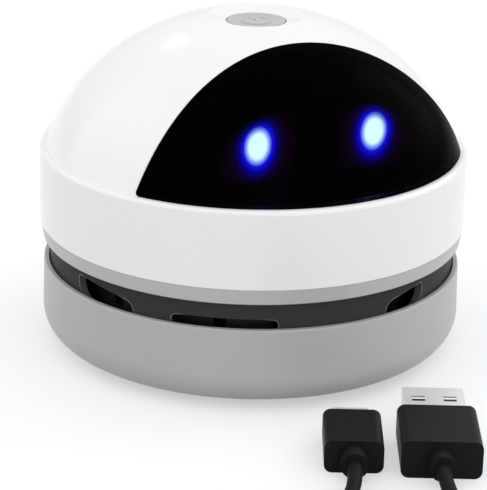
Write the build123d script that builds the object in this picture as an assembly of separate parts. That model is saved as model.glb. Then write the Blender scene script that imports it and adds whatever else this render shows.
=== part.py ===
from build123d import *
import math
import os

# Desktop mini vacuum cleaner, in millimetres. The origin lies on the table under the
# centre of the round body, +Z is up and the face looks along -Y. Angles about Z are
# counted from the face, turning towards +X.

# Overall form
body_radius = 45.0
foot_height = 1.0
cup_height = 16.9
vent_gap = 5.35
trim_height = 3.25
trim_bevel = 0.26
band_height = 16.35
dome_half_height = 37.75
dome_sunk_height = 9.4
dish_radius = 9.8
dish_slope_width = 3.2
dish_drop = 2.1
dish_round = 1.0
dish_wall = 1.6

# Mouldings
shell_wall = 2.2
band_wall = 2.0
seam_gap = 0.1
fit_gap = 0.3
edge_round = 0.9

# Dust cup
cup_side_inset = 0.3
cup_rim_inset = 0.7
cup_rim_wall = 1.0
cup_rim_round = 0.35
cup_corner_radius = 6.5
cup_floor = 2.4
cup_seat_width = 0.9
plug_depth = 6.4
foot_radius = 3.6
foot_recess = 0.5
foot_chamfer = 0.3
foot_inset = 7.2

# Suction inlet under the cup
inlet_length = 30.0
inlet_width = 8.0
inlet_wall = 1.2
inlet_height = 9.0
inlet_plate_length = 48.0
inlet_plate_width = 24.0
inlet_plate_thickness = 1.2
brush_length = 32.0
brush_width = 1.8
brush_offset = 8.6
brush_bar_height = 0.6
bristle_radius = 0.5
bristle_ground_gap = 0.15
bristle_count = 14

# Fan housing and what it holds
drum_wall = 1.7
filter_seat_width = 2.6
filter_rim_width = 10.3
filter_seat_height = 1.2
seal_width = 1.4
seal_depth = 0.6
window_top = 21.9
window_near_top = 20.2
window_bottom = 16.4
window_corner = 0.8
window_near_corner = 2.6
window_far_corner = 3.7
slot_top = 19.75
slot_length = 21.7
slot_angle = -33.8
slot_corner = 1.2
wide_window = 16.3
narrow_window = 11.5
wide_window_angle = -70.4
narrow_window_angle = 19.9
grille_inset = 3.5
grille_wall = 1.4
grille_gap = 2.6
grille_bars = 20
filter_frame_thickness = 1.6
filter_thickness = 0.8
filter_hub_radius = 5.0
filter_spoke_width = 2.2
filter_spoke_lap = 0.5
filter_spokes = 6

# Fan and motor
fan_tip_gap = 3.4
fan_eye_radius = 13.0
fan_blades = 11
fan_blade_thickness = 1.0
fan_blade_bend_radius = 19.0
fan_hub_radius = 4.5
fan_back_thickness = 1.2
fan_clearance = 0.5
fan_deck_clearance = 1.3
fan_tip_height = 3.6
fan_rim_step = 0.5
inlet_plate_wall = 1.2
bellmouth_height = 0.9
shaft_radius = 1.0
shaft_play = 0.05
motor_radius = 12.1
motor_board_gap = 3.0
motor_wall = 0.8
motor_nose_radius = 3.1
motor_cap_thickness = 1.5
motor_cap_boss_height = 1.5
motor_tag = (0.6, 2.4)
motor_tag_spacing = 17.0
rotor_radius = 8.4
rotor_length = 19.0
magnet_thickness = 2.0
magnet_overhang = 1.0
deck_thickness = 1.6

# Fasteners
screw_radius = 1.0
screw_head_radius = 1.9
screw_head_height = 0.9
motor_screw_spacing = 16.0
band_screw_inset = 5.0
band_boss_radius = 2.8
band_boss_height = 9.5
band_boss_end = 1.0
band_lip_width = 3.0
band_lip_height = 1.5
board_screw_circle_radius = 17.0
board_post_radius = 2.3
board_screw_length = 5.0

# Battery, boards and charging socket
battery_radius = 7.0
battery_length = 50.0
battery_inset = 19.0
battery_floor_gap = 1.0
battery_stud_radius = 2.8
battery_stud_height = 1.0
cradle_length = 26.0
cradle_width = 13.0
cradle_height = 4.5
board_thickness = 1.2
charge_board_width = 16.0
charge_board_depth = 9.0
charge_board_inset = 1.6
charge_post_width = 9.6
charge_post_depth = 2.0
socket_width = 7.5
socket_height = 2.9
socket_depth = 5.6
socket_wall = 0.35
socket_tongue_width = 4.5
socket_tongue_depth = 3.9
socket_inset = 0.4
port_width = 10.6
port_height = 5.6
port_corner = 1.7
main_board_radius = 21.0
main_board_drop = 11.2
switch_size = 8.5
switch_height = 3.2
switch_base = 0.8

# Visor and the eyes behind it
visor_side_inset = 22.55
visor_arc_radius = 52.0
visor_arc_rise = 2.15
visor_corner = 0.9
visor_skin = 1.1
visor_flange = 2.0
eye_spacing = 26.2
eye_rise = 8.55
eye_width = 8.4
eye_tall = 12.4
eye_skin_gap = 2.9
eye_thickness = 1.0
led_radius = 2.5
led_length = 3.8
led_rim_width = 0.4
led_rim_height = 0.8
led_board_width = 36.0
led_board_tall = 12.0
led_leg_width = 3.0
led_leg_depth = 2.4

# Power button
button_radius = 6.1
button_gap = 0.2
button_flange_width = 1.2
button_flange_height = 1.0
button_rise = 0.1
button_dish = 0.25
button_travel = 1.0
plunger_radius = 1.6
plunger_play = 0.1
plunger_end_gap = 0.08

# Charging cable, laid on the table in front of the cleaner
cable_heading = -27.0
cord_radius = 1.4
plug_a_place = (36.6, -43.0)
plug_a_shell = (12.0, 4.5, 11.7)
plug_a_grip = (15.4, 7.6, 16.5)
plug_micro_place = (20.2, -49.3)
plug_micro_shell = (6.85, 1.8, 6.0)
plug_micro_grip = (11.3, 6.6, 14.4)
plug_shell_wall = 0.3
plug_root = 4.0
plug_tongue_setback = 0.5
plug_a_hole = (2.6, 2.3)
plug_a_hole_spacing = 6.2
plug_a_hole_setback = 5.3
grip_corner = 1.6
relief_radius = 2.6
relief_length = 4.0
cord_straight = 5.2
coil_place = (28.4, -110.0)
coil_turn_radius = 16.6
coil_layers = 2

# Heights and radii that follow from the sizes above
cup_side_radius = body_radius - cup_side_inset
cup_rim_radius = body_radius - cup_rim_inset
foot_circle_radius = cup_side_radius - cup_corner_radius - foot_inset
cup_base = foot_height
cup_floor_top = cup_base + cup_floor
cup_rim = cup_base + cup_height
cup_bore = cup_rim_radius - cup_rim_wall
cup_seat = cup_rim - plug_depth
trim_base = cup_rim + vent_gap
seam = trim_base + trim_height
deck_base = seam - deck_thickness
band_top = seam + band_height
dome_centre = band_top - dome_sunk_height
dome_top = dome_centre + dome_half_height
dish_floor = dome_top - dish_drop
drum_radius = cup_bore - fit_gap
drum_bore = drum_radius - drum_wall
grille_radius = drum_bore - grille_inset
fan_radius = grille_radius - grille_wall - fan_tip_gap
filter_opening_radius = drum_bore - filter_rim_width
band_bore = body_radius - band_wall
band_screw_circle_radius = band_bore - band_screw_inset
battery_offset = band_bore - battery_inset
charge_board_edge = band_bore - charge_board_inset
socket_edge = band_bore - socket_inset
visor_side_depth = body_radius - visor_side_inset
filter_frame_base = cup_seat + filter_seat_height
filter_frame_top = filter_frame_base + filter_frame_thickness
bellmouth_top = filter_frame_top + inlet_plate_wall + bellmouth_height
fan_base = bellmouth_top + fan_clearance
fan_top = deck_base - fan_deck_clearance
main_board_height = dome_top - main_board_drop
motor_top = main_board_height - motor_board_gap
rotor_base = (seam + motor_top - rotor_length) / 2
eye_height = band_top + eye_rise
board_top = main_board_height + board_thickness
switch_top = board_top + switch_height
upright = (Align.CENTER, Align.CENTER, Align.MIN)


def around(angle):
    """Turn about Z that brings +X to the side at this angle from the face."""
    return Rot(0, 0, angle - 90)


def disc(radius, low, high):
    return Pos(0, 0, low) * Cylinder(radius, high - low, align=upright)


def ring(outer, inner, low, high):
    return disc(outer, low, high) - disc(inner, low, high)


def turned(points):
    """Solid of revolution about Z from a closed outline of (radius, height) points."""
    return revolve(Plane.XZ * make_face(Polyline(*points, close=True)), Axis.Z)


def obround(length, width, low, high):
    return Pos(0, 0, low) * extrude(SlotOverall(length, width), high - low)


def block(size_x, size_y, low, high):
    return Pos(0, 0, low) * Box(size_x, size_y, high - low, align=upright)


def dome_outline(inset):
    """Half section of the ellipsoid inside the dome, its skin this far under the outer one."""
    outline = Pos(0, dome_centre) * Ellipse(body_radius - inset, dome_half_height - inset)
    height = dome_half_height + dome_sunk_height
    half = Pos(0, band_top) * Rectangle(body_radius, height, align=(Align.MIN, Align.MIN))
    return outline & half


def dome_solid(inset):
    return revolve(Plane.XZ * dome_outline(inset), Axis.Z)


def dome_height_at(radius, inset):
    """Height of the dome's skin, or one this far inside it, at a radius."""
    share = radius / (body_radius - inset)
    return dome_centre + (dome_half_height - inset) * math.sqrt(1 - share * share)


def dome_radius_at(height, inset):
    """Radius of the dome's skin, or one this far inside it, at a height."""
    share = (height - dome_centre) / (dome_half_height - inset)
    return (body_radius - inset) * math.sqrt(1 - share * share)


def visor_block(grown):
    """All in front of the visor's arched side edge and above the band, grown backwards."""
    back = visor_side_depth - grown
    far = 2 * body_radius
    height = dome_top - band_top
    arc_centre = (visor_arc_radius - back, band_top + visor_arc_rise)
    front = Rectangle(far, height, align=(Align.MAX, Align.MIN))
    outline = Pos(arc_centre[0], band_top) * front - Pos(*arc_centre) * Circle(visor_arc_radius)
    corner = outline.vertices().sort_by_distance((-back, band_top))[0]
    outline = fillet(corner, visor_corner)
    return extrude(Plane.YZ * outline, far, both=True)


# Dust cup


def make_base_shell():
    points = [
        (0, cup_base),
        (cup_side_radius, cup_base),
        (cup_rim_radius, cup_rim),
        (cup_bore, cup_rim),
        (cup_bore, cup_seat),
        (cup_bore - cup_seat_width, cup_seat),
        (cup_bore - cup_seat_width, cup_floor_top),
        (0, cup_floor_top),
    ]
    outline = make_face(Polyline(*points, close=True))
    outer = outline.vertices().sort_by_distance(points[1])[0]
    outline = fillet(outer, cup_corner_radius)
    inner = outline.vertices().sort_by_distance(points[6])[0]
    outline = fillet(inner, cup_corner_radius - cup_floor)
    lip = outline.vertices().sort_by_distance(points[2])[0]
    outline = fillet(lip, cup_rim_round)
    cup = revolve(Plane.XZ * outline, Axis.Z)
    recess_top = cup_base + inlet_plate_thickness
    cup -= obround(
        inlet_plate_length + 2 * seam_gap, inlet_plate_width + 2 * seam_gap, 0, recess_top
    )
    chimney = inlet_wall + seam_gap
    cup -= obround(inlet_length + 2 * chimney, inlet_width + 2 * chimney, 0, cup_floor_top)
    for angle in foot_angles():
        cup -= around(angle) * Pos(foot_circle_radius, 0, 0) * disc(
            foot_radius, 0, cup_base + foot_recess
        )
    return cup


def foot_angles():
    return [45 + 90 * step for step in range(4)]


def make_foot_pads():
    top = cup_base + foot_recess
    pads = []
    for angle in foot_angles():
        pad = Cylinder(foot_radius, top, align=upright)
        pad = chamfer(pad.edges().sort_by(Axis.Z)[0], foot_chamfer)
        pads.append(around(angle) * Pos(foot_circle_radius, 0, 0) * pad)
    return Compound(pads)


def make_inlet_nozzle():
    plate_top = cup_base + inlet_plate_thickness
    duct_top = cup_base + inlet_height
    nozzle = obround(inlet_plate_length, inlet_plate_width, cup_base, plate_top)
    nozzle += obround(
        inlet_length + 2 * inlet_wall, inlet_width + 2 * inlet_wall, cup_base, duct_top
    )
    nozzle -= obround(inlet_length, inlet_width, 0, duct_top)
    for side in (-1, 1):
        groove = block(brush_length + seam_gap, brush_width + seam_gap, 0, plate_top)
        nozzle -= Pos(0, side * brush_offset, 0) * groove
    return nozzle


def make_bristle_strips():
    bar_top = cup_base + inlet_plate_thickness
    bar_base = bar_top - brush_bar_height
    pitch = brush_length / bristle_count
    strips = []
    for side in (-1, 1):
        strip = block(brush_length, brush_width, bar_base, bar_top)
        for step in range(bristle_count):
            place = (step + 0.5) * pitch - brush_length / 2
            tuft = extrude(RegularPolygon(bristle_radius, 6), bar_base - bristle_ground_gap)
            strip += Pos(place, 0, bristle_ground_gap) * tuft
        strips.append(Pos(0, side * brush_offset, 0) * strip)
    return Compound(strips)


# Fan housing


def window_cutter(angle, width, far_side):
    """Rounded outlet window; its edge on the far side stands taller than the near one."""
    half = far_side * width / 2
    points = [
        (half, window_top),
        (-half, window_near_top),
        (-half, window_bottom),
        (half, window_bottom),
    ]
    rounds = [window_corner, window_near_corner, window_corner, window_far_corner]
    outline = make_face(Polyline(*points, close=True))
    for point, radius in zip(points, rounds):
        corner = outline.vertices().sort_by_distance(point)[0]
        outline = fillet(corner, radius)
    return side_cut(outline, angle)


def side_cut(outline, angle):
    """Cutter from the axis outwards, its outline drawn along the side and up."""
    turn = math.radians(angle)
    facing = Plane(
        origin=(0, 0, 0),
        x_dir=(math.cos(turn), math.sin(turn), 0),
        z_dir=(math.sin(turn), -math.cos(turn), 0),
    )
    return extrude(facing * outline, body_radius)


def make_fan_housing():
    seat_bore = drum_bore - filter_seat_width
    points = [
        (seat_bore, cup_seat),
        (drum_radius, cup_seat),
        (drum_radius, deck_base),
        (drum_bore, deck_base),
        (drum_bore, filter_frame_base),
        (seat_bore, filter_frame_base),
    ]
    drum = turned(points)
    drum -= ring(drum_radius + fit_gap, drum_radius - seal_depth, seal_base(), seal_base() + seal_width)
    for turn in (0, 180):
        drum -= window_cutter(wide_window_angle + turn, wide_window, -1)
        drum -= window_cutter(narrow_window_angle + turn, narrow_window, 1)
    height = slot_top - window_bottom
    opening = Pos(0, window_bottom + height / 2) * RectangleRounded(slot_length, height, slot_corner)
    return drum - side_cut(opening, slot_angle)


def seal_base():
    return cup_seat + (window_bottom - cup_seat - seal_width) / 2


def make_drum_seal():
    return ring(cup_bore - seam_gap, drum_radius - seal_depth, seal_base(), seal_base() + seal_width)


def make_filter_frame():
    frame = ring(drum_bore - seam_gap, filter_opening_radius, filter_frame_base, filter_frame_top)
    frame += disc(filter_hub_radius, filter_frame_base, filter_frame_top)
    reach = filter_opening_radius + 2 * filter_spoke_lap
    for step in range(filter_spokes):
        spoke = block(reach, filter_spoke_width, filter_frame_base, filter_frame_top)
        frame += around(360 * step / filter_spokes) * Pos(filter_opening_radius / 2, 0, 0) * spoke
    return frame


def make_filter_cloth():
    radius = drum_bore - filter_seat_width - seam_gap
    return disc(radius, filter_frame_base - filter_thickness, filter_frame_base)


def make_outlet_grille():
    inner = grille_radius - grille_wall
    grille = ring(grille_radius, inner, filter_frame_top, deck_base)
    low = filter_frame_top + grille_wall
    high = deck_base - grille_wall
    gap = Pos(grille_radius, 0, 0) * block(3 * grille_wall, grille_gap, low, high)
    for step in range(grille_bars):
        grille -= around(360 * step / grille_bars) * gap
    return grille


def make_fan_inlet_plate():
    outer = grille_radius - grille_wall - seam_gap
    low = filter_frame_top
    top = low + inlet_plate_wall
    lip = fan_eye_radius + inlet_plate_wall
    outline = make_face(
        Polyline(
            (fan_eye_radius, low),
            (outer, low),
            (outer, top),
            (lip + bellmouth_height, top),
            (lip, bellmouth_top),
            (fan_eye_radius, bellmouth_top),
            close=True,
        )
    )
    mouth = outline.vertices().sort_by_distance((fan_eye_radius, low))[0]
    outline = fillet(mouth, inlet_plate_wall)
    return revolve(Plane.XZ * outline, Axis.Z)


# Fan and motor


def make_blade_outline():
    """One backward-curved blade: the part of a thin circular band between eye and rim."""
    inner = fan_eye_radius
    offset = math.sqrt(inner * inner + fan_blade_bend_radius**2)
    half = fan_blade_thickness / 2
    band = Circle(fan_blade_bend_radius + half) - Circle(fan_blade_bend_radius - half)
    band = Pos(offset, 0) * band
    band &= Circle(fan_radius - fan_rim_step) - Circle(inner - half)
    return band.faces().sort_by(Axis.Y)[-1]


def make_impeller():
    blades_top = fan_top - fan_back_thickness
    fan = disc(fan_radius, blades_top, fan_top)
    fan += disc(fan_hub_radius, fan_base, fan_top)
    swept = turned(
        [
            (0, fan_base),
            (fan_eye_radius, fan_base),
            (fan_radius, blades_top - fan_tip_height),
            (fan_radius, fan_top),
            (0, fan_top),
        ]
    )
    blade_height = blades_top + fan_back_thickness / 2 - fan_base
    blade = extrude(Pos(0, 0, fan_base) * make_blade_outline(), blade_height) & swept
    for step in range(fan_blades):
        fan += Rot(0, 0, 360 * step / fan_blades) * blade
    return fan - disc(shaft_radius, 0, fan_top)


def make_motor_shaft():
    return disc(shaft_radius, fan_base, motor_top + motor_cap_boss_height / 2)


def make_motor_rotor():
    return ring(rotor_radius, shaft_radius, rotor_base, rotor_base + rotor_length)


def make_motor_magnets():
    outer = motor_radius - motor_wall
    low = rotor_base - magnet_overhang
    high = rotor_base + rotor_length + magnet_overhang
    sleeve = ring(outer, outer - magnet_thickness, low, high)
    split = block(3 * motor_radius, outer, seam, motor_top)
    return Compound((sleeve - split).solids())


def make_motor_can():
    top = motor_top - motor_cap_thickness
    can = disc(motor_radius, seam, top) + disc(motor_nose_radius, deck_base, seam)
    can -= disc(motor_radius - motor_wall, seam + 2 * motor_wall, top)
    can -= disc(shaft_radius + shaft_play, deck_base, top)
    for side in (-1, 1):
        can -= Pos(side * motor_screw_spacing / 2, 0, 0) * disc(screw_radius, seam, top)
    return can


def make_motor_end_cap():
    base = motor_top - motor_cap_thickness
    cap = disc(motor_radius, base, motor_top)
    cap += disc(motor_radius - motor_wall - seam_gap, base - motor_cap_thickness, motor_top)
    cap += disc(motor_nose_radius, motor_top, motor_top + motor_cap_boss_height)
    cap -= disc(shaft_radius + shaft_play, 0, motor_top + motor_cap_boss_height / 2)
    for side in (-1, 1):
        tag = block(*motor_tag, motor_top, motor_top + motor_cap_boss_height)
        cap += Pos(side * motor_tag_spacing / 2, 0, 0) * tag
    return cap


def screw(low, shank):
    """Screw driven upwards, its head standing on this height."""
    head = disc(screw_head_radius, low, low + screw_head_height)
    return head + disc(screw_radius, low + screw_head_height, low + shank)


def motor_screw_places():
    return [Pos(side * motor_screw_spacing / 2, 0, 0) for side in (-1, 1)]


def band_screw_places():
    return [around(angle) * Pos(band_screw_circle_radius, 0, 0) for angle in (0, 120, 240)]


def board_screw_places():
    return [around(angle) * Pos(board_screw_circle_radius, 0, 0) for angle in (60, 180, 300)]


def make_motor_screws():
    shank = deck_thickness + 2 * motor_wall
    return Compound([place * screw(deck_base, shank) for place in motor_screw_places()])


def make_band_screws():
    shank = band_boss_height - band_boss_end
    return Compound([place * screw(deck_base, shank) for place in band_screw_places()])


def make_board_screws():
    low = main_board_height - screw_head_height
    return Compound([place * screw(low, board_screw_length) for place in board_screw_places()])


def make_motor_deck():
    deck = disc(drum_radius, deck_base, seam)
    deck -= disc(motor_nose_radius + seam_gap, deck_base, seam)
    for place in motor_screw_places() + band_screw_places():
        deck -= place * disc(screw_radius + seam_gap, deck_base, seam)
        deck -= place * disc(screw_head_radius + seam_gap, deck_base, deck_base + screw_head_height)
    front = charge_board_edge - charge_board_depth
    post = block(charge_post_width, charge_post_depth, seam, seam + band_lip_height)
    return deck + Pos(0, front + charge_post_depth, 0) * post


# Housing mouldings


def make_trim_ring():
    foot = cup_rim_radius
    return turned(
        [
            (drum_radius + seam_gap, trim_base),
            (foot - trim_bevel, trim_base),
            (foot + trim_bevel / 2, trim_base + trim_bevel),
            (body_radius - seam_gap, seam),
            (drum_radius + seam_gap, seam),
        ]
    )


def port_height_centre():
    return seam + band_lip_height + board_thickness + socket_height / 2


def make_skirt_ring():
    lip_bore = band_bore - band_lip_width
    lip_top = seam + band_lip_height
    points = [
        (lip_bore, seam),
        (body_radius, seam),
        (body_radius, band_top),
        (band_bore, band_top),
        (band_bore, lip_top),
        (lip_bore, lip_top),
    ]
    outline = make_face(Polyline(*points, close=True))
    crown = outline.vertices().sort_by_distance(points[2])[0]
    outline = fillet(crown, edge_round)
    hem = outline.vertices().sort_by_distance(points[1])[0]
    outline = chamfer(hem, seam_gap * 2)
    band = revolve(Plane.XZ * outline, Axis.Z)
    for place in band_screw_places():
        band += place * disc(band_boss_radius, seam, seam + band_boss_height)
        band -= place * disc(screw_radius, seam, seam + band_boss_height - band_boss_end)
    port = Pos(0, port_height_centre()) * RectangleRounded(port_width, port_height, port_corner)
    tunnel = Plane.XZ * port
    return band - extrude(Pos(0, band_bore - band_wall / 2, 0) * tunnel, -body_radius)


def dished_dome():
    """The dome with the shallow dish in its crown that the button lies in."""
    rim = dome_height_at(dish_radius, 0)
    dish = make_face(
        Polyline(
            (0, dish_floor),
            (dish_radius - dish_slope_width, dish_floor),
            (dish_radius, rim),
            (dish_radius, dome_top),
            (0, dome_top),
            close=True,
        )
    )
    foot = dish.vertices().sort_by_distance((dish_radius - dish_slope_width, dish_floor))[0]
    outline = dome_outline(0) - fillet(foot, dish_round)
    edge = outline.vertices().sort_by_distance((dish_radius, rim))[0]
    return revolve(Plane.XZ * fillet(edge, dish_round), Axis.Z)


def make_dome_cover():
    hollow = dome_solid(shell_wall)
    hollow -= disc(dish_radius + dish_round, dish_floor - dish_wall, dome_top)
    skin = dished_dome() - hollow
    skin -= disc(button_radius + button_gap, band_top, 2 * band_top)
    skin -= visor_block(0)
    rebate = dome_solid(visor_skin) - dome_solid(shell_wall)
    skin -= rebate & visor_block(visor_flange)
    spigot_outer = band_bore - seam_gap
    shell_foot = dome_radius_at(band_top, shell_wall)
    skin += ring(spigot_outer, shell_foot - seam_gap, band_top - 2 * shell_wall, band_top)
    for place in board_screw_places():
        post = disc(board_post_radius, board_top, 2 * band_top)
        post = place * post & dome_solid(shell_wall / 2)
        skin += post - place * disc(screw_radius, 0, main_board_height + board_screw_length)
    return skin


def make_visor():
    """Window flush with the dome, on a thinner flange that lies behind the dome's edge."""
    skin = dome_solid(0) - dome_solid(shell_wall)
    window = skin & visor_block(visor_flange - seam_gap)
    outside = visor_block(2 * visor_flange) - dome_solid(visor_skin + seam_gap)
    return window - (outside - visor_block(-seam_gap))


# Eyes


def eye_places():
    return [Pos(side * eye_spacing / 2, 0, eye_height) for side in (-1, 1)]


def eye_depth():
    """Depth of the lenses' front faces, a gap behind the visor at the height of their tops."""
    visor_radius = dome_radius_at(eye_height + eye_tall / 2, visor_skin)
    return math.sqrt(visor_radius**2 - (eye_spacing / 2) ** 2) - eye_skin_gap


def led_face():
    """Depth of the board's front face, with the lights and lenses standing before it."""
    return eye_depth() - eye_thickness - led_length


def make_eye_lenses():
    lens = extrude(Plane.XZ * Ellipse(eye_width / 2, eye_tall / 2), eye_thickness)
    lens = chamfer(lens.edges().sort_by(Axis.Y)[0], eye_thickness * 0.4)
    return Compound([place * Pos(0, eye_thickness - eye_depth(), 0) * lens for place in eye_places()])


def make_eye_lights():
    lamp = extrude(Plane.XZ * Circle(led_radius), led_length)
    lamp += extrude(Plane.XZ * Circle(led_radius + led_rim_width), led_rim_height)
    return Compound([place * Pos(0, -led_face(), 0) * lamp for place in eye_places()])


def make_eye_board():
    low = eye_height - led_board_tall / 2
    board = block(led_board_width, board_thickness, low, low + led_board_tall)
    return Pos(0, board_thickness / 2 - led_face(), 0) * board


def make_eye_bracket():
    back = board_thickness - led_face()
    top = eye_height + led_board_tall / 2
    place = Pos(0, back + led_leg_depth / 2, 0)
    span = led_board_width - led_leg_width
    frame = block(span, led_leg_depth, top - led_leg_width, top)
    frame += block(span, led_leg_depth, top - led_board_tall, top - led_board_tall + led_leg_width)
    for side in (-1, 1):
        leg = block(led_leg_width, led_leg_depth, seam, top)
        frame += Pos(side * span / 2, 0, 0) * leg
    return place * frame


# Battery, boards, socket and switch


def battery_axis_height():
    return seam + battery_floor_gap + battery_radius


def make_battery_cell():
    cell = Cylinder(battery_radius, battery_length)
    stud = Cylinder(battery_stud_radius, battery_stud_height, align=upright)
    cell += Pos(0, 0, battery_length / 2) * stud
    return Pos(0, battery_offset, battery_axis_height()) * Rot(0, 90, 0) * cell


def make_battery_cradle():
    cradle = block(cradle_length, cradle_width, seam, seam + cradle_height)
    trough = Pos(0, 0, battery_axis_height()) * Rot(0, 90, 0) * Cylinder(battery_radius, battery_length)
    return Pos(0, battery_offset, 0) * (cradle - trough)


def make_charge_board():
    low = seam + band_lip_height
    board = block(charge_board_width, charge_board_depth, low, low + board_thickness)
    return Pos(0, charge_board_edge - charge_board_depth / 2, 0) * board


def make_micro_usb_socket():
    low = port_height_centre() - socket_height / 2
    case = block(socket_width, socket_depth, low, low + socket_height)
    hollow = block(
        socket_width - 2 * socket_wall,
        socket_depth - socket_wall,
        low + socket_wall,
        low + socket_height - socket_wall,
    )
    case -= Pos(0, socket_wall, 0) * hollow
    middle = low + socket_height / 2
    tongue = block(socket_tongue_width, socket_tongue_depth, middle, middle + 2 * socket_wall)
    case += Pos(0, (socket_wall - socket_depth + socket_tongue_depth) / 2, 0) * tongue
    return Pos(0, socket_edge - socket_depth / 2, 0) * case


def make_main_board():
    board = disc(main_board_radius, main_board_height, board_top)
    for place in board_screw_places():
        board -= place * disc(screw_radius + seam_gap, main_board_height, board_top)
    return board


def make_power_switch():
    switch = block(switch_size, switch_size, board_top, switch_top)
    return switch - disc(plunger_radius + plunger_play, board_top + switch_base, switch_top)


# Power button


def button_flange_top():
    """The flange stops just under the dish, which holds the button in."""
    return dish_floor - dish_wall - button_gap


def make_button_cap():
    flange_top = button_flange_top()
    flange_base = flange_top - button_flange_height
    top = dish_floor + button_rise
    flange_radius = button_radius + button_flange_width
    outline = make_face(
        Polyline(
            (0, flange_base),
            (flange_radius, flange_base),
            (flange_radius, flange_top),
            (button_radius, flange_top),
            (button_radius, top),
            (button_radius - edge_round, top),
            (button_radius - 2 * edge_round, top - button_dish),
            (0, top - button_dish),
            close=True,
        )
    )
    shoulder = outline.vertices().sort_by_distance((button_radius, top))[0]
    outline = fillet(shoulder, button_dish)
    return revolve(Plane.XZ * outline, Axis.Z)


def make_switch_plunger():
    low = board_top + switch_base + button_travel + plunger_end_gap
    return disc(plunger_radius, low, button_flange_top() - button_flange_height)


# Charging cable


def laid(place, height):
    """Where a plug's tip lies: local X across it, local Y from its cord to its tip."""
    return Rot(0, 0, cable_heading) * Pos(place[0], place[1], height)


def plug_shell(size):
    """Open metal mouth, with its root inside the grip."""
    width, height, length = size
    full = length + plug_root
    mouth = Rectangle(width, height)
    bore = Rectangle(width - 2 * plug_shell_wall, height - 2 * plug_shell_wall)
    return extrude(Plane.XZ * (mouth - bore), full)


def plug_tongue(width, height, length):
    """Contact tongue, set a little way back from the shell's mouth."""
    tongue = Box(width, length - plug_tongue_setback, height)
    return Pos(0, -(length + plug_tongue_setback) / 2, 0) * tongue


def plug_grip(size, shell):
    """Moulded grip with rounded edges and the strain relief behind it."""
    width, height, length = size
    body = extrude(Plane.XZ * RectangleRounded(width, height, grip_corner), length)
    tail = Pos(0, -length, 0) * extrude(Plane.XZ * Circle(relief_radius), relief_length)
    pocket = extrude(Plane.XZ * Rectangle(shell[0], shell[1]), plug_root)
    return body + tail - pocket


def make_usb_a_shell():
    shell = plug_shell(plug_a_shell)
    for side in (-1, 1):
        hole = Box(plug_a_hole[0], plug_a_hole[1], plug_a_shell[1])
        shell -= Pos(side * plug_a_hole_spacing / 2, -plug_a_hole_setback, 0) * hole
    return laid(plug_a_place, plug_a_grip[1] / 2) * shell


def make_usb_a_insert():
    width = plug_a_shell[0] - 2 * plug_shell_wall
    height = plug_a_shell[1] / 2 - plug_shell_wall
    full = plug_a_shell[2] + plug_root
    tongue = plug_tongue(width, height, full)
    return laid(plug_a_place, (plug_a_grip[1] - height) / 2) * tongue


def make_usb_a_grip():
    grip = Pos(0, -plug_a_shell[2], 0) * plug_grip(plug_a_grip, plug_a_shell)
    return laid(plug_a_place, plug_a_grip[1] / 2) * grip


def make_micro_usb_shell():
    return laid(plug_micro_place, plug_micro_grip[1] / 2) * plug_shell(plug_micro_shell)


def make_micro_usb_insert():
    width = plug_micro_shell[0] - 2 * plug_shell_wall
    height = plug_micro_shell[1] / 2 - plug_shell_wall
    full = plug_micro_shell[2] + plug_root
    tongue = plug_tongue(width, height, full)
    return laid(plug_micro_place, (plug_micro_grip[1] + height) / 2) * tongue


def make_micro_usb_grip():
    grip = Pos(0, -plug_micro_shell[2], 0) * plug_grip(plug_micro_grip, plug_micro_shell)
    return laid(plug_micro_place, plug_micro_grip[1] / 2) * grip


def cord_start(place, shell, grip):
    """The cord's first two points: the strain relief's end, and straight out of it."""
    exit_y = place[1] - shell[2] - grip[2] - relief_length
    height = grip[1] / 2
    return [(place[0], exit_y, height), (place[0], exit_y - cord_straight, height)]


lead_a_route = cord_start(plug_a_place, plug_a_shell, plug_a_grip) + [
    (37.8, -86.6, 2.9),
    (41.6, -93.0, 1.9),
    (45.8, -100.2, 3.9),
    (46.4, -110.0, 4.2),
]
lead_micro_route = cord_start(plug_micro_place, plug_micro_shell, plug_micro_grip) + [
    (18.9, -85.2, 2.4),
    (15.2, -92.0, 1.6),
    (11.3, -99.4, 1.5),
    (10.4, -110.0, 1.4),
]


def bend_radii(route):
    """Largest arc that each corner's two runs allow, with a tenth of each run left straight."""
    points = [Vector(*point) for point in route]
    radii = []
    for before, corner, after in zip(points, points[1:], points[2:]):
        turn = math.radians((corner - before).get_angle(after - corner))
        shorter = min((corner - before).length, (after - corner).length)
        radii.append(0.45 * shorter / math.tan(turn / 2))
    return radii


def make_lead(route):
    radii = bend_radii(route)
    path = FilletPolyline(*route, radius=radii)
    start = Plane(origin=path @ 0, z_dir=path % 0)
    tube = sweep(start * Circle(cord_radius), path)
    expected = math.pi * cord_radius**2 * path.length
    print("cord bends", [round(radius, 1) for radius in radii])
    print("cord length", round(path.length, 1), "volume", round(tube.volume), round(expected))
    return Rot(0, 0, cable_heading) * tube


def make_cable_coil():
    width = 2 * coil_layers * cord_radius
    section = chamfer(Rectangle(width, width).vertices(), cord_radius * 0.7)
    turns = revolve(Plane.XZ * Pos(coil_turn_radius, width / 2) * section, Axis.Z)
    return Rot(0, 0, cable_heading) * Pos(coil_place[0], coil_place[1], 0) * turns


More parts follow.
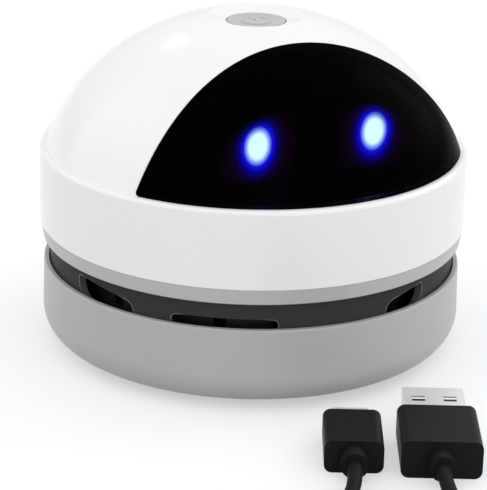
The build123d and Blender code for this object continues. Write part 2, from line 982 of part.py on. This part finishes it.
nodes = {
    "base_shell": make_base_shell(),
    "foot_pads": make_foot_pads(),
    "inlet_nozzle": make_inlet_nozzle(),
    "bristle_strips": make_bristle_strips(),
    "fan_housing": make_fan_housing(),
    "drum_seal": make_drum_seal(),
    "filter_frame": make_filter_frame(),
    "filter_cloth": make_filter_cloth(),
    "outlet_grille": make_outlet_grille(),
    "fan_inlet_plate": make_fan_inlet_plate(),
    "impeller": make_impeller(),
    "motor_shaft": make_motor_shaft(),
    "motor_rotor": make_motor_rotor(),
    "motor_magnets": make_motor_magnets(),
    "motor_can": make_motor_can(),
    "motor_end_cap": make_motor_end_cap(),
    "motor_screws": make_motor_screws(),
    "motor_deck": make_motor_deck(),
    "trim_ring": make_trim_ring(),
    "skirt_ring": make_skirt_ring(),
    "band_screws": make_band_screws(),
    "dome_cover": make_dome_cover(),
    "visor": make_visor(),
    "eye_lenses": make_eye_lenses(),
    "eye_lights": make_eye_lights(),
    "eye_board": make_eye_board(),
    "eye_bracket": make_eye_bracket(),
    "battery_cell": make_battery_cell(),
    "battery_cradle": make_battery_cradle(),
    "charge_board": make_charge_board(),
    "micro_usb_socket": make_micro_usb_socket(),
    "main_board": make_main_board(),
    "board_screws": make_board_screws(),
    "power_switch": make_power_switch(),
    "button_cap": make_button_cap(),
    "switch_plunger": make_switch_plunger(),
    "usb_a_shell": make_usb_a_shell(),
    "usb_a_insert": make_usb_a_insert(),
    "usb_a_grip": make_usb_a_grip(),
    "micro_usb_shell": make_micro_usb_shell(),
    "micro_usb_insert": make_micro_usb_insert(),
    "micro_usb_grip": make_micro_usb_grip(),
    "cable_lead_a": make_lead(lead_a_route),
    "cable_lead_micro": make_lead(lead_micro_route),
    "cable_coil": make_cable_coil(),
}

os.makedirs("parts", exist_ok=True)
for name, shape in nodes.items():
    export_step(shape, f"parts/{name}.step")
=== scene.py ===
"""Desktop mini vacuum cleaner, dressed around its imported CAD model. Lengths are in metres."""

import math

import bmesh
import bpy
from mathutils import Matrix, Vector


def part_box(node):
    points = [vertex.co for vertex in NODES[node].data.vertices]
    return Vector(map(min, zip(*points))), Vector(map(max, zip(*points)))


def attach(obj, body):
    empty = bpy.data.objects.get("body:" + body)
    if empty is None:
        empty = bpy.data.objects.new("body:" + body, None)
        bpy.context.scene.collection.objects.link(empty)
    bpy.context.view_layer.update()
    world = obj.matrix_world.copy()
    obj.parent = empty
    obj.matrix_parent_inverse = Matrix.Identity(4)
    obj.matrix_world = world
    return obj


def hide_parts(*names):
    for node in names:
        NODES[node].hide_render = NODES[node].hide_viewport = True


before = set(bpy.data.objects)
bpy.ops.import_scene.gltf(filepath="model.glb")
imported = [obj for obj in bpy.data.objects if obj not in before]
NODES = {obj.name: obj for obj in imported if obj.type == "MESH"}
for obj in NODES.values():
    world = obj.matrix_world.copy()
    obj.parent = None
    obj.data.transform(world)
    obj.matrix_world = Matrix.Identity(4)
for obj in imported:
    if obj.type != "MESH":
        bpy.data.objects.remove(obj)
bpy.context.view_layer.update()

# Camera, 27 degrees round from the face, on the side of -X
HEADING = math.radians(-27)
CAMERA_PLACE = (-0.2014, -0.3952, 0.1840)
CAMERA_DOWN = math.radians(20.36)
CAMERA_YAW = math.radians(-0.21)
CAMERA_ROLL = math.radians(1.22)
LENS = 161.8
SENSOR = 36.0
CLIP = (0.01, 20)

# Charging cable, in the camera's directions: u to the right, v away from it. Each STEP is the
# stretch, in degrees past half a turn, over which the coil steps in, up or out by one cord
CORD = 0.0028
COIL_CENTRE = (0.0284, -0.1100)
COIL_INNER = 0.0152
COIL_OUTER = 0.0180
COIL_TURNS = 3.5
TURN_POINTS = 24
STEP_IN = (116, 170)
STEP_UP = (50, 130)
STEP_OUT = (6, 60)
CORD_SMOOTHNESS = 6
MICRO_LEAD = [
    (0.0202, -0.0737, 0.0033),
    (0.0202, -0.0789, 0.0033),
    (0.0189, -0.0852, 0.0024),
    (0.0152, -0.0920, 0.0016),
    (0.0113, -0.0994, 0.0015),
    (0.0104, -0.1100, 0.0014),
]
A_LEAD = [
    (0.0366, -0.0752, 0.0038),
    (0.0366, -0.0804, 0.0038),
    (0.0378, -0.0866, 0.0029),
    (0.0416, -0.0930, 0.0019),
    (0.0458, -0.1002, 0.0039),
    (0.0464, -0.1100, 0.0042),
]

# Dome, as half an ellipsoid, and the film behind its visor
DOME_RADIUS = 0.0450
DOME_HALF_HEIGHT = 0.03775
DOME_CENTRE = 0.03345
FILM_DEPTH = 0.0276
FILM_THICKNESS = 0.0002
FILM_INSET = 0.0026
FILM_FOOT = 0.0433
FILM_TOP = 0.0596
FILM_ROWS = 28
FILM_EDGE_FADE = (0.86, 0.99)
FILM_FOOT_FADE = 0.002

# Eyes' glow: place, half width and half height of the core, and colours by distance in cores
EYE_X = 0.0131
EYE_Z = 0.0515
EYE_CORE = (0.00255, 0.0034)
GLOW_STRENGTH = 72.0
GLOW_REACH = 3.7
GLOW_STOPS = [
    (0.0, (0.72, 1.0, 0.97)),
    (0.75, (0.64, 0.95, 1.0)),
    (1.0, (0.20, 0.30, 0.95)),
    (1.22, (0.006, 0.006, 0.70)),
    (1.6, (0.003, 0.0, 0.20)),
    (2.0, (0.003, 0.0, 0.028)),
    (2.55, (0.003, 0.0, 0.004)),
    (GLOW_REACH, (0.0, 0.0, 0.0)),
]

# Outlet windows in the drum: angle from the face, width and which side stands taller
DRUM_RADIUS = 0.0430
DRUM_BORE = 0.0413
WINDOW_HEIGHTS = (0.0164, 0.0202, 0.0219)
WINDOW_CORNERS = (0.0008, 0.0026, 0.0008, 0.0037)
WINDOWS = [
    (-70.4, 0.0163, -1),
    (109.6, 0.0163, -1),
    (19.9, 0.0115, 1),
    (199.9, 0.0115, 1),
]

# Level slot in the drum: angle, length, foot, top and corner radius
SLOT = (-33.8, 0.0217, 0.0164, 0.01975, 0.0012)

# Sleeves inside the windows and the slot, lighter than the drum: a painted highlight on the
# openings' cut edges
HIGHLIGHT_SHEET_GAP = 0.00001
HIGHLIGHT_SHEET_THICKNESS = 0.00018
HIGHLIGHT_SHEET_PROUD = 0.00002
CORNER_STEPS = 7

# Sign on the power button: an open ring and a bar
SIGN_RING = 0.0029
SIGN_STROKE = 0.00055
SIGN_RISE = 0.00016
SIGN_SINK = 0.00004
SIGN_OPENING = 40
SIGN_STEPS = 48
SIGN_BAR = (0.0006, 0.0036)
SIGN_BEVEL = SIGN_STROKE * 0.22
BUTTON_DISH = 0.00025

# Moulded and metal finishes: size of their patches, in noise per metre
MOTTLE_SCALE = 22
GLOSS_SCALE = 60
CLOUD_SCALE = 70
CLOUD_SHADE = 0.86

# Floor and light
FLOOR_SIZE = 4.0
FLOOR_GREY = (0.52, 0.54)
FLOOR_GLOW = 0.47
AIM = (0, 0, 0.035)
LAMPS = [
    ("left", (-0.80, 0.05, 0.45), (0.90, 0.90), 1.5),
    ("right", (0.72, 0.42, 0.45), (0.60, 0.60), 1.5),
    ("front", (0.45, -0.80, 0.14), (0.80, 0.20), 1.5),
    ("back", (-0.29, 0.65, 0.56), (0.08, 0.06), 0.07),
]

# World: from and to this height of the direction, and its strength at each
WORLD_RISE = (0.0, 0.6, 0.76, 0.97)


# ---------------------------------------------------------------- helpers


def across(u, v, z):
    """Point given in the camera's directions, in the part's frame."""
    c, s = math.cos(HEADING), math.sin(HEADING)
    return Vector((c * u - s * v, s * u + c * v, z))


class Nodes:
    """Short way to write a material's node tree."""

    def __init__(self, name):
        self.material = bpy.data.materials.new(name)
        self.material.use_nodes = True
        self.tree = self.material.node_tree
        self.tree.nodes.clear()
        self.output = self.tree.nodes.new("ShaderNodeOutputMaterial")

    def add(self, kind, **values):
        node = self.tree.nodes.new("ShaderNode" + kind)
        for key, value in values.items():
            setattr(node, key, value)
        return node

    def link(self, a, b):
        self.tree.links.new(a, b)

    def coordinates(self, scale):
        place = self.add("TexCoord")
        mapping = self.add("Mapping")
        mapping.inputs["Scale"].default_value = scale
        self.link(place.outputs["Object"], mapping.inputs["Vector"])
        return mapping.outputs["Vector"]

    def noise(self, scale, detail, rough, stretch=(1, 1, 1)):
        node = self.add("TexNoise")
        node.inputs["Scale"].default_value = scale
        node.inputs["Detail"].default_value = detail
        node.inputs["Roughness"].default_value = rough
        self.link(self.coordinates(stretch), node.inputs["Vector"])
        return node.outputs["Fac"]

    def spread(self, value, low, high, start=0.0, stop=1.0):
        node = self.add("MapRange")
        node.inputs["From Min"].default_value = start
        node.inputs["From Max"].default_value = stop
        node.inputs["To Min"].default_value = low
        node.inputs["To Max"].default_value = high
        self.link(value, node.inputs["Value"])
        return node.outputs["Result"]

    def mixed(self, value, first, second):
        """Colour between two, plain or sockets. Sockets 6 and 7 take the Mix node's colours."""
        node = self.add("Mix", data_type="RGBA")
        self.link(value, node.inputs["Factor"])
        for socket, colour in zip((node.inputs[6], node.inputs[7]), (first, second)):
            if hasattr(colour, "links"):
                self.link(colour, socket)
            else:
                socket.default_value = (*colour, 1)
        return node.outputs[2]

    def math(self, kind, a, b=None):
        node = self.add("Math", operation=kind)
        for socket, value in zip(node.inputs, (a, b)):
            if value is None:
                continue
            if hasattr(value, "links"):
                self.link(value, socket)
            else:
                socket.default_value = value
        return node.outputs[0]

    def squared(self, value):
        return self.math("POWER", self.math("ABSOLUTE", value), 2.0)

    def bump(self, height, strength, distance):
        node = self.add("Bump")
        node.inputs["Strength"].default_value = strength
        node.inputs["Distance"].default_value = distance
        self.link(height, node.inputs["Height"])
        return node.outputs["Normal"]

    def surface(self, **values):
        shader = self.add("BsdfPrincipled")
        for key, value in values.items():
            socket = shader.inputs[key.replace("_", " ")]
            if hasattr(value, "links"):
                self.link(value, socket)
            elif socket.type == "RGBA":
                socket.default_value = (*value, 1)
            else:
                socket.default_value = value
        self.link(shader.outputs[0], self.output.inputs["Surface"])
        return self.material


def grey(value):
    return (value, value, value)


def moulded(name, low, high, rough, grain=900, depth=0.00002, **more):
    """Moulded plastic: slight mottling, uneven gloss and a fine moulded grain."""
    m = Nodes(name)
    mottle = m.noise(MOTTLE_SCALE, 4, 0.6)
    gloss = m.noise(GLOSS_SCALE, 4, 0.6)
    return m.surface(
        Base_Color=m.mixed(mottle, low, high),
        Roughness=m.spread(gloss, rough[0], rough[1]),
        Normal=m.bump(m.noise(grain, 3, 0.6), 0.25, depth),
        **more,
    )


def metal(name, colour, rough, stretch=(1, 1, 1), grain=500, metallic=1.0):
    """Plated or drawn metal: brushed one way, with faint clouding."""
    m = Nodes(name)
    lines = m.noise(grain, 3, 0.6, stretch)
    clouds = m.noise(CLOUD_SCALE, 3, 0.6)
    dark = tuple(CLOUD_SHADE * c for c in colour)
    return m.surface(
        Base_Color=m.mixed(clouds, dark, colour),
        Metallic=metallic,
        Roughness=m.spread(lines, rough[0], rough[1]),
        Normal=m.bump(lines, 0.15, 0.00002),
    )


def dress(material, *names):
    """Give CAD nodes a material."""
    for name in names:
        slots = NODES[name].data.materials
        slots.clear()
        slots.append(material)


def skin(bm, rows):
    """Faces between closed rows of points, with a cap on the first and the last row."""
    for first, second in zip(rows, rows[1:]):
        for index in range(len(first)):
            after = (index + 1) % len(first)
            bm.faces.new((first[index], first[after], second[after], second[index]))
    bm.faces.new(rows[0][::-1])
    bm.faces.new(rows[-1])


def mesh_piece(name, bm, body, material):
    """Flat-shaded closed piece from a bmesh, riding on its body."""
    bmesh.ops.recalc_face_normals(bm, faces=bm.faces[:])
    mesh = bpy.data.meshes.new(name)
    bm.to_mesh(mesh)
    bm.free()
    piece = bpy.data.objects.new(name, mesh)
    bpy.context.scene.collection.objects.link(piece)
    mesh.materials.append(material)
    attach(piece, body)


# ---------------------------------------------------------------- camera


def make_camera():
    data = bpy.data.cameras.new("camera")
    data.sensor_width = SENSOR
    data.lens = LENS
    data.clip_start, data.clip_end = CLIP
    camera = bpy.data.objects.new("camera", data)
    bpy.context.scene.collection.objects.link(camera)
    level = math.cos(CAMERA_DOWN)
    sideways, ahead = math.sin(CAMERA_YAW), math.cos(CAMERA_YAW)
    forward = across(sideways * level, ahead * level, -math.sin(CAMERA_DOWN))
    right = across(ahead, -sideways, 0)
    up = right.cross(forward)
    c, s = math.cos(CAMERA_ROLL), math.sin(CAMERA_ROLL)
    side = c * right + s * up
    top = c * up - s * right
    turn = Matrix((side, top, -forward)).transposed()
    camera.matrix_world = Matrix.Translation(CAMERA_PLACE) @ turn.to_4x4()
    bpy.context.scene.camera = camera


make_camera()


# ---------------------------------------------------------------- materials

dome_white = moulded("dome_white", grey(0.86), grey(0.885), (0.16, 0.22), 700, 0.000006)
cup_grey = moulded("cup_grey", grey(0.42), grey(0.45), (0.34, 0.42), 1400, 0.00002)
trim_grey = moulded("trim_grey", grey(0.47), grey(0.50), (0.30, 0.38), 1400, 0.00001)
button_grey = moulded("button_grey", grey(0.46), grey(0.49), (0.30, 0.38), 1400, 0.00001)
drum_smoke = moulded(
    "drum_smoke", grey(0.038), grey(0.046), (0.38, 0.48), 900, 0.00001, IOR=1.10
)
# Lighter, glossier smoke for the window sleeves: a painted highlight on the drum's cut edges
painted_edge_highlight = moulded("painted_edge_highlight", grey(0.09), grey(0.12), (0.25, 0.35), 900, 0.00001)
inner_black = moulded("inner_black", grey(0.014), grey(0.02), (0.45, 0.6))
fan_plastic = moulded("fan_plastic", grey(0.05), grey(0.07), (0.4, 0.55))
rubber_pad = moulded("rubber_pad", grey(0.035), grey(0.05), (0.6, 0.8), 1800, 0.00004)
bristle = moulded("bristle", grey(0.03), grey(0.06), (0.5, 0.7))
circuit_green = moulded("circuit_green", (0.01, 0.10, 0.04), (0.015, 0.13, 0.05), (0.3, 0.4))
cell_sleeve = moulded("cell_sleeve", (0.03, 0.10, 0.32), (0.04, 0.13, 0.38), (0.25, 0.35))
magnet = moulded("magnet", grey(0.05), grey(0.08), (0.5, 0.7), 2500, 0.00005)
filter_white = moulded("filter_white", grey(0.62), grey(0.72), (0.85, 0.95), 2600, 0.0002)
lamp_clear = moulded("lamp_clear", (0.55, 0.68, 0.85), (0.6, 0.72, 0.9), (0.15, 0.25))
cable_black = moulded(
    "cable_black", grey(0.008), grey(0.013), (0.40, 0.50), 1600, 0.00001, IOR=1.15
)
steel = metal("steel", grey(0.55), (0.28, 0.42), (1, 1, 6))
plug_metal = metal("plug_metal", grey(0.92), (0.28, 0.42), (8, 8, 1), metallic=0.55)


def make_visor_black():
    """Tinted window: nearly black, and lets an eighth of the light through each face."""
    m = Nodes("visor_black")
    soft = m.noise(30, 3, 0.5)
    return m.surface(
        Base_Color=m.mixed(soft, grey(0.0004), grey(0.0008)),
        Roughness=m.spread(m.noise(90, 3, 0.6), 0.10, 0.16),
        Specular_IOR_Level=0.003,
        Alpha=0.88,
        Normal=m.bump(m.noise(400, 2, 0.5), 0.1, 0.000004),
    )


def eye_colour(m, x, z):
    """Colour of the glow, by the distance from the nearer eye in cores."""
    side = m.math("SUBTRACT", m.math("ABSOLUTE", x), EYE_X)
    side = m.squared(m.math("DIVIDE", side, EYE_CORE[0]))
    rise = m.squared(m.math("DIVIDE", m.math("SUBTRACT", z, EYE_Z), EYE_CORE[1]))
    radius = m.math("SQRT", m.math("ADD", side, rise))
    ramp = m.add("ValToRGB")
    m.link(m.math("DIVIDE", radius, GLOW_REACH), ramp.inputs["Fac"])
    elements = ramp.color_ramp.elements
    while len(elements) < len(GLOW_STOPS):
        elements.new(0.5)
    for element, (reach, colour) in zip(elements, GLOW_STOPS):
        element.position = reach / GLOW_REACH
        element.color = (*colour, 1)
    return ramp.outputs["Color"]


def film_share(m, x, y, z):
    """How much of the glow shows: the film's front only, faded towards its rim and its foot."""
    flat = m.math("ADD", m.squared(x), FILM_DEPTH * FILM_DEPTH)
    flat = m.math("DIVIDE", flat, (DOME_RADIUS - FILM_INSET) ** 2)
    rise = m.squared(m.math("SUBTRACT", z, DOME_CENTRE))
    rise = m.math("DIVIDE", rise, (DOME_HALF_HEIGHT - FILM_INSET) ** 2)
    inside_rim = m.spread(m.math("ADD", flat, rise), 1.0, 0.0, *FILM_EDGE_FADE)
    above_foot = m.spread(z, 0.0, 1.0, FILM_FOOT, FILM_FOOT + FILM_FOOT_FADE)
    front = m.math("LESS_THAN", y, FILM_THICKNESS / 2 - FILM_DEPTH)
    return m.math("MULTIPLY", m.math("MULTIPLY", front, inside_rim), above_foot)


def make_eye_glow():
    """Lit film: a white-cyan core in a deep blue halo that fades out."""
    m = Nodes("eye_glow")
    place = m.add("TexCoord")
    split = m.add("SeparateXYZ")
    m.link(place.outputs["Object"], split.inputs[0])
    x, y, z = split.outputs
    return m.surface(
        Base_Color=grey(0.004),
        Roughness=m.spread(m.noise(200, 3, 0.6), 0.5, 0.65),
        Specular_IOR_Level=0.1,
        Emission_Color=m.mixed(film_share(m, x, y, z), (0, 0, 0), eye_colour(m, x, z)),
        Emission_Strength=GLOW_STRENGTH,
    )


visor_black = make_visor_black()
eye_glow = make_eye_glow()

dress(dome_white, "dome_cover", "skirt_ring")
dress(cup_grey, "base_shell")
dress(trim_grey, "trim_ring")
dress(button_grey, "button_cap")
dress(visor_black, "visor")
dress(lamp_clear, "eye_lenses", "eye_lights")
dress(drum_smoke, "fan_housing")
dress(inner_black, "inlet_nozzle", "motor_deck", "eye_bracket", "battery_cradle")
dress(inner_black, "outlet_grille", "filter_frame", "motor_end_cap", "power_switch")
dress(fan_plastic, "impeller", "fan_inlet_plate", "switch_plunger")
dress(rubber_pad, "foot_pads", "drum_seal")
dress(bristle, "bristle_strips")
dress(circuit_green, "eye_board", "charge_board", "main_board")
dress(cell_sleeve, "battery_cell")
dress(magnet, "motor_magnets")
dress(filter_white, "filter_cloth")
dress(steel, "motor_shaft", "motor_rotor", "motor_can", "motor_screws", "band_screws")
dress(steel, "board_screws", "micro_usb_socket")
dress(plug_metal, "usb_a_shell", "micro_usb_shell")
dress(inner_black, "usb_a_insert", "micro_usb_insert")
dress(cable_black, "usb_a_grip", "micro_usb_grip")


# ---------------------------------------------------------------- charging cable


def eased(value, start, stop):
    """0 up to start and 1 from stop on, with a smooth rise between them."""
    share = min(1.0, max(0.0, (value - start) / (stop - start)))
    return share * share * (3 - 2 * share)


def coil_points():
    """Turns a cord's width apart: outside low, inside low, inside high and outside high."""
    step = 360 / TURN_POINTS
    # The spline runs this share of the way out to its points
    inside = 0.75 + 0.25 * math.cos(math.radians(step))
    low, high = 0.5 * CORD, 1.5 * CORD
    points = []
    for index in range(1, int(COIL_TURNS * TURN_POINTS)):
        turned = index * step
        past_half = turned % 360 - 180
        turn = int(turned // 360)
        radius, height = COIL_OUTER, high
        if turn == 0:
            radius = COIL_OUTER - (COIL_OUTER - COIL_INNER) * eased(past_half, *STEP_IN)
            height = low
        elif turn == 1:
            radius = COIL_INNER
            height = low + CORD * eased(past_half, *STEP_UP)
        elif turn == 2:
            radius = COIL_INNER + (COIL_OUTER - COIL_INNER) * eased(past_half, *STEP_OUT)
        angle = math.radians(180 + turned)
        u = COIL_CENTRE[0] + radius / inside * math.cos(angle)
        v = COIL_CENTRE[1] + radius / inside * math.sin(angle)
        points.append((u, v, height))
    return points


def make_cord():
    route = MICRO_LEAD + coil_points() + A_LEAD[::-1]
    data = bpy.data.curves.new("charging_cord", "CURVE")
    data.dimensions = "3D"
    data.bevel_depth = CORD / 2
    data.bevel_resolution = CORD_SMOOTHNESS
    data.resolution_u = CORD_SMOOTHNESS
    data.use_fill_caps = True
    spline = data.splines.new("NURBS")
    spline.points.add(len(route) - 1)
    for point, (u, v, z) in zip(spline.points, route):
        point.co = (*across(u, v, z), 1)
    spline.order_u = 3
    spline.use_endpoint_u = True
    cord = bpy.data.objects.new("charging_cord", data)
    bpy.context.scene.collection.objects.link(cord)
    data.materials.append(cable_black)
    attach(cord, "dust_cup")
    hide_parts("cable_lead_a", "cable_lead_micro", "cable_coil")
    plugs = ["usb_a_shell", "usb_a_insert", "usb_a_grip"]
    plugs += ["micro_usb_shell", "micro_usb_insert", "micro_usb_grip"]


make_cord()


# ---------------------------------------------------------------- eyes, painted window highlights and button sign


def film_half_width(height):
    """Half the film's width at a height, just inside the visor's inner skin."""
    share = (height - DOME_CENTRE) / (DOME_HALF_HEIGHT - FILM_INSET)
    radius = (DOME_RADIUS - FILM_INSET) * math.sqrt(1 - share * share)
    return math.sqrt(max(0.0, radius * radius - FILM_DEPTH * FILM_DEPTH))


def make_eye_film():
    """Flat sheet behind the visor, cut to the dome's inner outline."""
    bm = bmesh.new()
    front, back = -FILM_DEPTH, FILM_THICKNESS - FILM_DEPTH
    rows = []
    for row in range(FILM_ROWS + 1):
        height = FILM_FOOT + (FILM_TOP - FILM_FOOT) * row / FILM_ROWS
        half = film_half_width(height)
        section = [(x, front) for x in (-half, 0.0, half)]
        section += [(x, back) for x in (half, 0.0, -half)]
        rows.append([bm.verts.new((x, y, height)) for x, y in section])
    skin(bm, rows)
    mesh_piece("eye_film", bm, "housing", eye_glow)


def rounded_outline(points, radii, inset):
    """Rounded polygon, its points given counter-clockwise, drawn this far inside itself."""
    outline = []
    for index, corner in enumerate(points):
        before = Vector(points[index - 1])
        after = Vector(points[(index + 1) % len(points)])
        corner = Vector(corner)
        coming, leaving = (corner - before).normalized(), (after - corner).normalized()
        turn = coming.angle(leaving)
        inward = Vector((-coming.y, coming.x))
        centre = corner - coming * radii[index] * math.tan(turn / 2) + inward * radii[index]
        for step in range(CORNER_STEPS + 1):
            arc = Matrix.Rotation(turn * step / CORNER_STEPS, 2)
            outline.append(centre + arc @ (-inward) * (radii[index] - inset))
    return outline


def add_highlight_sheet(bm, angle, points, radii):
    """Thin sleeve inside one opening of the drum, through its wall, carrying a painted
    highlight on the opening's edge.
    """
    turn = math.radians(angle)
    along = Vector((math.cos(turn), math.sin(turn)))
    outwards = Vector((math.sin(turn), -math.cos(turn)))

    def place(point, radius):
        flat = along * point.x + outwards * math.sqrt(radius * radius - point.x * point.x)
        return (flat.x, flat.y, point.y)

    wide = rounded_outline(points, radii, HIGHLIGHT_SHEET_GAP)
    tight = rounded_outline(points, radii, HIGHLIGHT_SHEET_GAP + HIGHLIGHT_SHEET_THICKNESS)
    front, back = DRUM_RADIUS + HIGHLIGHT_SHEET_PROUD, DRUM_BORE
    rings = [(wide, front), (tight, front), (tight, back), (wide, back)]
    rows = [[bm.verts.new(place(point, radius)) for point in line] for line, radius in rings]
    for row, following in zip(rows, rows[1:] + rows[:1]):
        for index in range(len(row)):
            after = (index + 1) % len(row)
            bm.faces.new((row[index], row[after], following[after], following[index]))


def make_window_highlight_sheets():
    """Sleeves in the four slanting windows and in the level slot, lighter than the drum:
    painted highlights on their edges.
    """
    bm = bmesh.new()
    bottom, near_top, far_top = WINDOW_HEIGHTS
    for angle, width, far_side in WINDOWS:
        half = far_side * width / 2
        points = [(half, far_top), (-half, near_top), (-half, bottom), (half, bottom)]
        radii = list(WINDOW_CORNERS)
        if far_side < 0:
            points, radii = points[::-1], radii[::-1]
        add_highlight_sheet(bm, angle, points, radii)
    angle, length, low, high, corner = SLOT
    half = length / 2
    points = [(half, high), (-half, high), (-half, low), (half, low)]
    add_highlight_sheet(bm, angle, points, [corner] * len(points))
    mesh_piece("window_highlight_sheets", bm, "housing", painted_edge_highlight)


def ribbon(bm, inner, outer, low, high):
    """Raised strip between two matching rows of points, bevelled along its top edges."""
    rings = []
    for start, end in zip(inner, outer):
        a, b = Vector(start), Vector(end)
        inward = (b - a).normalized() * SIGN_BEVEL
        section = [
            (*a, low),
            (*a, high - SIGN_BEVEL),
            (*(a + inward), high),
            (*(b - inward), high),
            (*b, high - SIGN_BEVEL),
            (*b, low),
        ]
        rings.append([bm.verts.new(point) for point in section])
    skin(bm, rings)


def make_button_sign(button_top):
    """Ring, open towards the back, and the bar in its opening."""
    bm = bmesh.new()
    low, high = button_top - SIGN_SINK, button_top + SIGN_RISE
    inner, outer = [], []
    for step in range(SIGN_STEPS + 1):
        turned = (360 - 2 * SIGN_OPENING) * step / SIGN_STEPS
        angle = math.radians(90 + SIGN_OPENING + turned)
        way = Vector((math.cos(angle), math.sin(angle)))
        inner.append(way * (SIGN_RING - SIGN_STROKE / 2))
        outer.append(way * (SIGN_RING + SIGN_STROKE / 2))
    ribbon(bm, inner, outer, low, high)
    sides = [[(side * SIGN_STROKE / 2, y) for y in SIGN_BAR] for side in (-1, 1)]
    ribbon(bm, sides[0], sides[1], low, high)
    mesh_piece("power_sign", bm, "power_button", button_grey)


make_eye_film()
make_window_highlight_sheets()
make_button_sign(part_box("button_cap")[1][2] - BUTTON_DISH)


# ---------------------------------------------------------------- floor and light


def make_floor():
    """Pale floor, whitened for what the camera, gloss and glass see, that keeps the shadow."""
    m = Nodes("floor")
    soft = m.noise(3, 2, 0.5)
    low, high = FLOOR_GREY
    diffuse = m.add("BsdfDiffuse")
    m.link(m.mixed(soft, grey(low), grey(high)), diffuse.inputs["Color"])
    glow = m.add("Emission")
    glow.inputs["Color"].default_value = (1, 1, 1, 1)
    glow.inputs["Strength"].default_value = FLOOR_GLOW
    total = m.add("AddShader")
    m.link(diffuse.outputs[0], total.inputs[0])
    m.link(glow.outputs[0], total.inputs[1])
    path = m.add("LightPath")
    seen = m.math("MAXIMUM", path.outputs["Is Camera Ray"], path.outputs["Is Glossy Ray"])
    seen = m.math("MAXIMUM", seen, path.outputs["Is Transmission Ray"])
    choice = m.add("MixShader")
    m.link(seen, choice.inputs[0])
    m.link(diffuse.outputs[0], choice.inputs[1])
    m.link(total.outputs[0], choice.inputs[2])
    m.link(choice.outputs[0], m.output.inputs["Surface"])
    bm = bmesh.new()
    bmesh.ops.create_grid(bm, x_segments=2, y_segments=2, size=FLOOR_SIZE)
    mesh = bpy.data.meshes.new("floor")
    bm.to_mesh(mesh)
    bm.free()
    mesh.materials.append(m.material)
    floor = bpy.data.objects.new("floor", mesh)
    bpy.context.scene.collection.objects.link(floor)


def area_light(name, place, size, power):
    """Soft lamp, placed in the camera's directions and turned to the object."""
    data = bpy.data.lights.new(name, "AREA")
    data.shape = "RECTANGLE"
    data.size, data.size_y = size
    data.energy = power
    lamp = bpy.data.objects.new(name, data)
    bpy.context.scene.collection.objects.link(lamp)
    lamp.location = across(*place)
    aim = Vector(AIM) - across(*place)
    lamp.rotation_euler = aim.to_track_quat("-Z", "Y").to_euler()


def make_world():
    """Even studio light from above, dimmer towards the horizon."""
    world = bpy.data.worlds.new("studio")
    bpy.context.scene.world = world
    world.use_nodes = True
    tree = world.node_tree
    back = tree.nodes["Background"]
    back.inputs["Color"].default_value = (1, 1, 1, 1)
    place = tree.nodes.new("ShaderNodeTexCoord")
    split = tree.nodes.new("ShaderNodeSeparateXYZ")
    rise = tree.nodes.new("ShaderNodeMapRange")
    rise.interpolation_type = "SMOOTHSTEP"
    for socket, value in zip(("From Min", "From Max", "To Min", "To Max"), WORLD_RISE):
        rise.inputs[socket].default_value = value
    tree.links.new(place.outputs["Generated"], split.inputs[0])
    tree.links.new(split.outputs["Z"], rise.inputs["Value"])
    tree.links.new(rise.outputs["Result"], back.inputs["Strength"])


make_floor()
for lamp_row in LAMPS:
    area_light(*lamp_row)
make_world()
bpy.context.scene.view_settings.view_transform = "Standard"
